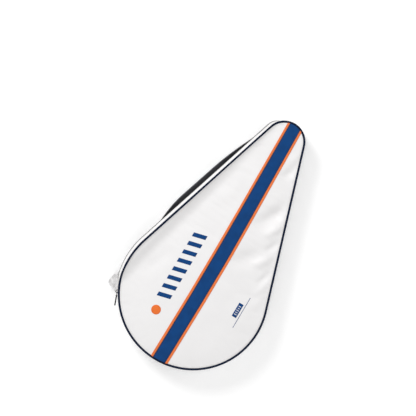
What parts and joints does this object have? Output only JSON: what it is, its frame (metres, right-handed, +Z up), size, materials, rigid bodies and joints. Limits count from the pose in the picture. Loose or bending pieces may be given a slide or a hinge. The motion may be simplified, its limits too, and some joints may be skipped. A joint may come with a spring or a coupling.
{
  "type": "paddle case",
  "caption": "Padded teardrop case for one court paddle, with piped panels, a side wall, a centre stripe and a zip open along one flank.",
  "frame": {"origin": "centre of the round head, on the outer face of the back panel, on which the case lies", "axes": "+Y from the round head towards the narrow tip, +Z up out of the front panel, +X to the right seen from the front; the zip is on the -X flank"},
  "size_m": [0.3168, 0.5614, 0.0662],
  "materials": {
    "white_skin": "fine grained coated cloth, satin",
    "side_skin": "fine grained coated cloth, satin",
    "foam": "closed cell foam, matt",
    "lining": "brushed knit lining, matt",
    "piping": "coated piping, satin",
    "binding": "woven seam binding, matt",
    "stripe_blue": "coated cloth band, satin",
    "stripe_orange": "coated cloth edge, satin",
    "print_blue": "printed ink, satin",
    "print_orange": "printed ink, satin",
    "zip_tape": "woven zip tape, matt",
    "zip_coil": "nylon coil, semi gloss",
    "stop_metal": "satin",
    "slider_metal": "dark enamel, semi gloss",
    "link_metal": "satin wire",
    "tab_rubber": "moulded, matt"
  },
  "bodies": {
    "case": {"back_cover": "white_skin", "back_foam": "foam", "back_lining": "lining", "back_piping": "piping", "back_binding": "binding", "front_cover": "white_skin", "front_foam": "foam", "front_lining": "lining", "front_piping": "piping", "front_binding": "binding", "gusset_wall": "side_skin", "gusset_lining": "lining", "gusset_fold": "side_skin", "stripe_band": "stripe_blue", "stripe_edge_left": "stripe_orange", "stripe_edge_right": "stripe_orange", "print_bars": "print_blue", "print_ball": "print_orange", "label_patch": "print_blue", "label_rule": "print_blue", "zip_strip_fixed": "side_skin", "zip_tape_fixed": "zip_tape", "zip_coil_fixed": "zip_coil", "zip_end_tabs": "side_skin", "zip_bottom_stop": "stop_metal", "zip_top_stop": "stop_metal"},
    "front_lip": {"lip_cover": "white_skin", "lip_foam": "foam", "lip_lining": "lining", "lip_piping": "piping", "lip_binding": "binding", "lip_zip_strip": "side_skin", "lip_zip_tape": "zip_tape", "lip_zip_coil": "zip_coil"},
    "back_lip": {"back_zip_strip": "side_skin", "back_zip_tape": "zip_tape", "back_zip_coil": "zip_coil"},
    "slider": {"slider_body": "slider_metal", "slider_bail": "slider_metal"},
    "link": {"puller_link": "link_metal"},
    "tab": {"puller_tab": "tab_rubber"}
  },
  "joints": [
    {"name": "front_lip_fold", "type": "hinge", "parent": "case", "child": "front_lip", "pos_m": [-0.13397, -0.0668, 0.05], "axis": [0.2427, 0.9701, 0], "range_deg": [-25, 43]},
    {"name": "back_lip_fold", "type": "hinge", "parent": "case", "child": "back_lip", "pos_m": [-0.14476, 0.04635, 0.0051], "axis": [-0.3049, -0.9524, 0], "range_deg": [-62, 6]},
    {"name": "slider_travel", "type": "hinge", "parent": "case", "child": "slider", "pos_m": [0, 0, 0.025], "axis": [0, 0, -1], "range_deg": [0, 44.5]},
    {"name": "link_swing", "type": "hinge", "parent": "slider", "child": "link", "pos_m": [-0.13728, -0.07567, 0.025], "axis": [0, 0, -1], "range_deg": [-6, 160]},
    {"name": "tab_swing", "type": "hinge", "parent": "link", "child": "tab", "pos_m": [-0.1344, -0.08314, 0.025], "axis": [0, 0, -1], "range_deg": [-12, 75]}
  ]
}
